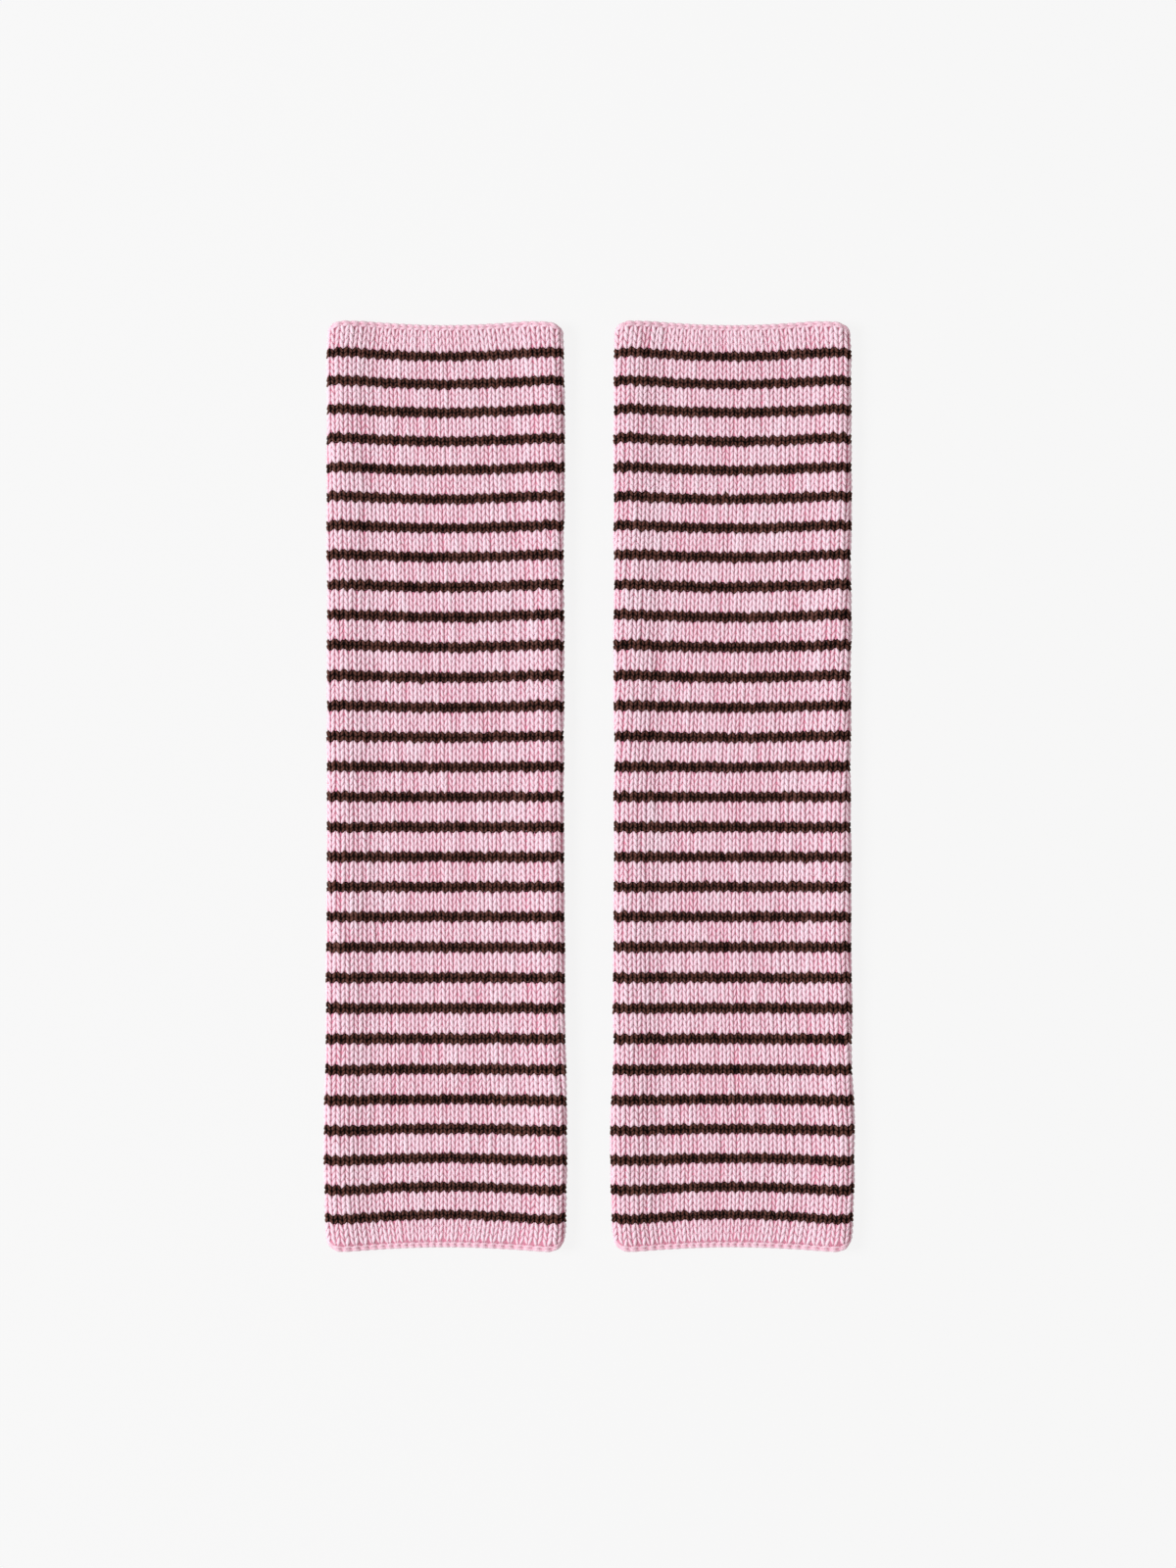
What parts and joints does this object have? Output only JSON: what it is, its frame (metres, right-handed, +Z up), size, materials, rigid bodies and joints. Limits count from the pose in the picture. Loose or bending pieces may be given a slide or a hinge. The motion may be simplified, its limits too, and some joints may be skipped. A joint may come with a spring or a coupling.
{
  "type": "pair of knitted arm warmers",
  "caption": "Pair of long fingerless knitted arm warmers: plain seamless tubes in pale pink with thin brown stripes, laid flat side by side.",
  "frame": {"origin": "on the table, midway between the two sleeves and midway along them", "axes": "+X across the pair towards the right-hand sleeve, +Y along the sleeves towards the bound-off ends, +Z up from the table"},
  "size_m": [0.212, 0.3707, 0.0074],
  "materials": {
    "pink_yarn": "soft, slightly fuzzy pale pink knitting yarn, matt",
    "brown_yarn": "soft, slightly fuzzy dark brown knitting yarn, matt"
  },
  "bodies": {
    "root": {"left_tube": "pink_yarn", "left_bind_off_edge": "pink_yarn", "left_cast_on_edge": "pink_yarn", "right_tube": "pink_yarn", "right_bind_off_edge": "pink_yarn", "right_cast_on_edge": "pink_yarn"}
  },
  "joints": []
}
